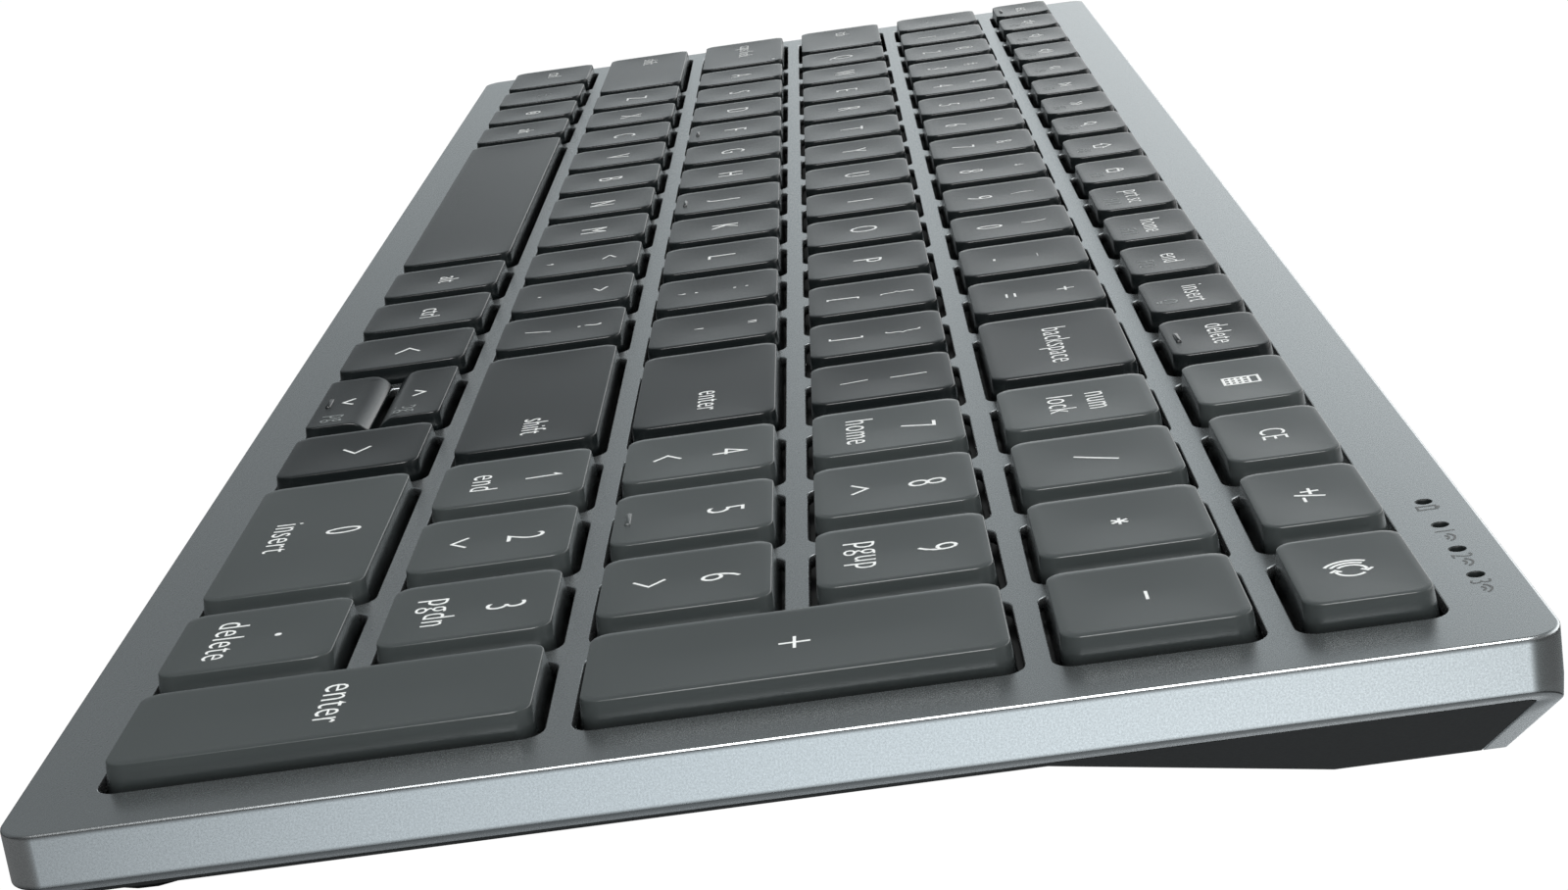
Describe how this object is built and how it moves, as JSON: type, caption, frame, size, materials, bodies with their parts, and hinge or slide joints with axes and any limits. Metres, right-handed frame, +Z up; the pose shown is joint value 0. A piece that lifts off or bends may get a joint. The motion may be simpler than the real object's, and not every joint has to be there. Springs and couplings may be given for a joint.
{
  "type": "compact wireless keyboard",
  "caption": "Slim full-layout wireless keyboard with a numeric keypad block, separate sprung keycaps, two-part case and a battery hump.",
  "frame": {"origin": "middle of the footprint, on the plane that the four rubber feet rest on", "axes": "+X to the right along the key rows, +Y to the rear (away from the user), +Z up"},
  "size_m": [0.3632, 0.1208, 0.0208],
  "materials": {
    "silver_paint": "satin metallic silver-grey paint with fine speckle on a moulded shell",
    "black_plastic": "matte black moulded plastic",
    "key_dark": "satin dark grey keycap plastic with printed legends",
    "key_grey": "satin mid grey keycap plastic with printed legends",
    "silicone": "soft translucent silicone",
    "contact_film": "printed polyester film",
    "steel": "bare steel",
    "board": "green circuit board",
    "clear_plastic": "clear moulded plastic",
    "cell_jacket": "plain printed steel jacket",
    "foot_rubber": "matte black rubber"
  },
  "bodies": {
    "case": {"top_case": "silver_paint", "bottom_case": "black_plastic", "dome_sheet": "silicone", "contact_membrane": "contact_film", "support_plate": "steel", "main_board": "board", "light_guide": "clear_plastic", "battery_left": "cell_jacket", "battery_right": "cell_jacket", "battery_spring_contact": "steel", "battery_plate_contact": "steel", "case_screw_left": "steel", "case_screw_right": "steel", "foot_front_left": "foot_rubber", "foot_front_right": "foot_rubber", "foot_rear_left": "foot_rubber", "foot_rear_right": "foot_rubber"},
    "battery_door": {"battery_door": "black_plastic"},
    "key_space": {"key_space": "key_dark", "space_bar_stabiliser": "steel"},
    "key_arrow_left": {"key_arrow_left": "key_dark"},
    "key_arrow_right": {"key_arrow_right": "key_dark"},
    "key_arrow_up": {"key_arrow_up": "key_dark"},
    "key_arrow_down": {"key_arrow_down": "key_dark"},
    "key_left_shift": {"key_left_shift": "key_dark"},
    "key_right_shift": {"key_right_shift": "key_dark"},
    "key_caps_lock": {"key_caps_lock": "key_dark"},
    "key_enter": {"key_enter": "key_dark"},
    "key_tab": {"key_tab": "key_dark"},
    "key_backspace": {"key_backspace": "key_dark"},
    "key_escape": {"key_escape": "key_dark"},
    "key_delete": {"key_delete": "key_dark"},
    "keys_left_modifiers": {"keys_left_modifiers": "key_dark"},
    "keys_right_modifiers": {"keys_right_modifiers": "key_dark"},
    "keys_lower_letter_row": {"keys_lower_letter_row": "key_dark"},
    "keys_home_row": {"keys_home_row": "key_dark"},
    "keys_upper_letter_row": {"keys_upper_letter_row": "key_dark"},
    "keys_digit_row": {"keys_digit_row": "key_dark"},
    "keys_function_row": {"keys_function_row": "key_dark"},
    "key_pad_0": {"key_pad_0": "key_grey"},
    "key_pad_decimal": {"key_pad_decimal": "key_grey"},
    "key_pad_enter": {"key_pad_enter": "key_grey"},
    "key_pad_1": {"key_pad_1": "key_grey"},
    "key_pad_2": {"key_pad_2": "key_grey"},
    "key_pad_3": {"key_pad_3": "key_grey"},
    "key_pad_4": {"key_pad_4": "key_grey"},
    "key_pad_5": {"key_pad_5": "key_grey"},
    "key_pad_6": {"key_pad_6": "key_grey"},
    "key_pad_add": {"key_pad_add": "key_grey"},
    "key_pad_7": {"key_pad_7": "key_grey"},
    "key_pad_8": {"key_pad_8": "key_grey"},
    "key_pad_9": {"key_pad_9": "key_grey"},
    "key_pad_num_lock": {"key_pad_num_lock": "key_grey"},
    "key_pad_divide": {"key_pad_divide": "key_grey"},
    "key_pad_multiply": {"key_pad_multiply": "key_grey"},
    "key_pad_subtract": {"key_pad_subtract": "key_grey"},
    "key_calculator": {"key_calculator": "key_grey"},
    "key_clear_entry": {"key_clear_entry": "key_grey"},
    "key_plus_minus": {"key_plus_minus": "key_grey"},
    "key_connect": {"key_connect": "key_grey"}
  },
  "joints": [
    {"name": "battery_door_slide", "type": "slide", "parent": "case", "child": "battery_door", "axis": [1, 0, 0], "range_m": [0, 0.006]},
    {"name": "key_space_press", "type": "slide", "parent": "case", "child": "key_space", "axis": [0, 0.1027, -0.9947], "range_m": [0, 0.0018], "stiffness_N_per_m": 300, "springref_m": -0.0005},
    {"name": "key_arrow_left_press", "type": "slide", "parent": "case", "child": "key_arrow_left", "axis": [0, 0.1027, -0.9947], "range_m": [0, 0.0018], "stiffness_N_per_m": 300, "springref_m": -0.0005},
    {"name": "key_arrow_right_press", "type": "slide", "parent": "case", "child": "key_arrow_right", "axis": [0, 0.1027, -0.9947], "range_m": [0, 0.0018], "stiffness_N_per_m": 300, "springref_m": -0.0005},
    {"name": "key_arrow_up_press", "type": "slide", "parent": "case", "child": "key_arrow_up", "axis": [0, 0.1027, -0.9947], "range_m": [0, 0.0018], "stiffness_N_per_m": 300, "springref_m": -0.0005},
    {"name": "key_arrow_down_press", "type": "slide", "parent": "case", "child": "key_arrow_down", "axis": [0, 0.1027, -0.9947], "range_m": [0, 0.0018], "stiffness_N_per_m": 300, "springref_m": -0.0005},
    {"name": "key_left_shift_press", "type": "slide", "parent": "case", "child": "key_left_shift", "axis": [0, 0.1027, -0.9947], "range_m": [0, 0.0018], "stiffness_N_per_m": 300, "springref_m": -0.0005},
    {"name": "key_right_shift_press", "type": "slide", "parent": "case", "child": "key_right_shift", "axis": [0, 0.1027, -0.9947], "range_m": [0, 0.0018], "stiffness_N_per_m": 300, "springref_m": -0.0005},
    {"name": "key_caps_lock_press", "type": "slide", "parent": "case", "child": "key_caps_lock", "axis": [0, 0.1027, -0.9947], "range_m": [0, 0.0018], "stiffness_N_per_m": 300, "springref_m": -0.0005},
    {"name": "key_enter_press", "type": "slide", "parent": "case", "child": "key_enter", "axis": [0, 0.1027, -0.9947], "range_m": [0, 0.0018], "stiffness_N_per_m": 300, "springref_m": -0.0005},
    {"name": "key_tab_press", "type": "slide", "parent": "case", "child": "key_tab", "axis": [0, 0.1027, -0.9947], "range_m": [0, 0.0018], "stiffness_N_per_m": 300, "springref_m": -0.0005},
    {"name": "key_backspace_press", "type": "slide", "parent": "case", "child": "key_backspace", "axis": [0, 0.1027, -0.9947], "range_m": [0, 0.0018], "stiffness_N_per_m": 300, "springref_m": -0.0005},
    {"name": "key_escape_press", "type": "slide", "parent": "case", "child": "key_escape", "axis": [0, 0.1027, -0.9947], "range_m": [0, 0.0018], "stiffness_N_per_m": 300, "springref_m": -0.0005},
    {"name": "key_delete_press", "type": "slide", "parent": "case", "child": "key_delete", "axis": [0, 0.1027, -0.9947], "range_m": [0, 0.0018], "stiffness_N_per_m": 300, "springref_m": -0.0005},
    {"name": "keys_left_modifiers_press", "type": "slide", "parent": "case", "child": "keys_left_modifiers", "axis": [0, 0.1027, -0.9947], "range_m": [0, 0.0018], "stiffness_N_per_m": 1200, "springref_m": -0.0005},
    {"name": "keys_right_modifiers_press", "type": "slide", "parent": "case", "child": "keys_right_modifiers", "axis": [0, 0.1027, -0.9947], "range_m": [0, 0.0018], "stiffness_N_per_m": 600, "springref_m": -0.0005},
    {"name": "keys_lower_letter_row_press", "type": "slide", "parent": "case", "child": "keys_lower_letter_row", "axis": [0, 0.1027, -0.9947], "range_m": [0, 0.0018], "stiffness_N_per_m": 3000, "springref_m": -0.0005},
    {"name": "keys_home_row_press", "type": "slide", "parent": "case", "child": "keys_home_row", "axis": [0, 0.1027, -0.9947], "range_m": [0, 0.0018], "stiffness_N_per_m": 3300, "springref_m": -0.0005},
    {"name": "keys_upper_letter_row_press", "type": "slide", "parent": "case", "child": "keys_upper_letter_row", "axis": [0, 0.1027, -0.9947], "range_m": [0, 0.0018], "stiffness_N_per_m": 3900, "springref_m": -0.0005},
    {"name": "keys_digit_row_press", "type": "slide", "parent": "case", "child": "keys_digit_row", "axis": [0, 0.1027, -0.9947], "range_m": [0, 0.0018], "stiffness_N_per_m": 3900, "springref_m": -0.0005},
    {"name": "keys_function_row_press", "type": "slide", "parent": "case", "child": "keys_function_row", "axis": [0, 0.1027, -0.9947], "range_m": [0, 0.0018], "stiffness_N_per_m": 3900, "springref_m": -0.0005},
    {"name": "key_pad_0_press", "type": "slide", "parent": "case", "child": "key_pad_0", "axis": [0, 0.1027, -0.9947], "range_m": [0, 0.0018], "stiffness_N_per_m": 300, "springref_m": -0.0005},
    {"name": "key_pad_decimal_press", "type": "slide", "parent": "case", "child": "key_pad_decimal", "axis": [0, 0.1027, -0.9947], "range_m": [0, 0.0018], "stiffness_N_per_m": 300, "springref_m": -0.0005},
    {"name": "key_pad_enter_press", "type": "slide", "parent": "case", "child": "key_pad_enter", "axis": [0, 0.1027, -0.9947], "range_m": [0, 0.0018], "stiffness_N_per_m": 300, "springref_m": -0.0005},
    {"name": "key_pad_1_press", "type": "slide", "parent": "case", "child": "key_pad_1", "axis": [0, 0.1027, -0.9947], "range_m": [0, 0.0018], "stiffness_N_per_m": 300, "springref_m": -0.0005},
    {"name": "key_pad_2_press", "type": "slide", "parent": "case", "child": "key_pad_2", "axis": [0, 0.1027, -0.9947], "range_m": [0, 0.0018], "stiffness_N_per_m": 300, "springref_m": -0.0005},
    {"name": "key_pad_3_press", "type": "slide", "parent": "case", "child": "key_pad_3", "axis": [0, 0.1027, -0.9947], "range_m": [0, 0.0018], "stiffness_N_per_m": 300, "springref_m": -0.0005},
    {"name": "key_pad_4_press", "type": "slide", "parent": "case", "child": "key_pad_4", "axis": [0, 0.1027, -0.9947], "range_m": [0, 0.0018], "stiffness_N_per_m": 300, "springref_m": -0.0005},
    {"name": "key_pad_5_press", "type": "slide", "parent": "case", "child": "key_pad_5", "axis": [0, 0.1027, -0.9947], "range_m": [0, 0.0018], "stiffness_N_per_m": 300, "springref_m": -0.0005},
    {"name": "key_pad_6_press", "type": "slide", "parent": "case", "child": "key_pad_6", "axis": [0, 0.1027, -0.9947], "range_m": [0, 0.0018], "stiffness_N_per_m": 300, "springref_m": -0.0005},
    {"name": "key_pad_add_press", "type": "slide", "parent": "case", "child": "key_pad_add", "axis": [0, 0.1027, -0.9947], "range_m": [0, 0.0018], "stiffness_N_per_m": 300, "springref_m": -0.0005},
    {"name": "key_pad_7_press", "type": "slide", "parent": "case", "child": "key_pad_7", "axis": [0, 0.1027, -0.9947], "range_m": [0, 0.0018], "stiffness_N_per_m": 300, "springref_m": -0.0005},
    {"name": "key_pad_8_press", "type": "slide", "parent": "case", "child": "key_pad_8", "axis": [0, 0.1027, -0.9947], "range_m": [0, 0.0018], "stiffness_N_per_m": 300, "springref_m": -0.0005},
    {"name": "key_pad_9_press", "type": "slide", "parent": "case", "child": "key_pad_9", "axis": [0, 0.1027, -0.9947], "range_m": [0, 0.0018], "stiffness_N_per_m": 300, "springref_m": -0.0005},
    {"name": "key_pad_num_lock_press", "type": "slide", "parent": "case", "child": "key_pad_num_lock", "axis": [0, 0.1027, -0.9947], "range_m": [0, 0.0018], "stiffness_N_per_m": 300, "springref_m": -0.0005},
    {"name": "key_pad_divide_press", "type": "slide", "parent": "case", "child": "key_pad_divide", "axis": [0, 0.1027, -0.9947], "range_m": [0, 0.0018], "stiffness_N_per_m": 300, "springref_m": -0.0005},
    {"name": "key_pad_multiply_press", "type": "slide", "parent": "case", "child": "key_pad_multiply", "axis": [0, 0.1027, -0.9947], "range_m": [0, 0.0018], "stiffness_N_per_m": 300, "springref_m": -0.0005},
    {"name": "key_pad_subtract_press", "type": "slide", "parent": "case", "child": "key_pad_subtract", "axis": [0, 0.1027, -0.9947], "range_m": [0, 0.0018], "stiffness_N_per_m": 300, "springref_m": -0.0005},
    {"name": "key_calculator_press", "type": "slide", "parent": "case", "child": "key_calculator", "axis": [0, 0.1027, -0.9947], "range_m": [0, 0.0018], "stiffness_N_per_m": 300, "springref_m": -0.0005},
    {"name": "key_clear_entry_press", "type": "slide", "parent": "case", "child": "key_clear_entry", "axis": [0, 0.1027, -0.9947], "range_m": [0, 0.0018], "stiffness_N_per_m": 300, "springref_m": -0.0005},
    {"name": "key_plus_minus_press", "type": "slide", "parent": "case", "child": "key_plus_minus", "axis": [0, 0.1027, -0.9947], "range_m": [0, 0.0018], "stiffness_N_per_m": 300, "springref_m": -0.0005},
    {"name": "key_connect_press", "type": "slide", "parent": "case", "child": "key_connect", "axis": [0, 0.1027, -0.9947], "range_m": [0, 0.0018], "stiffness_N_per_m": 300, "springref_m": -0.0005}
  ]
}
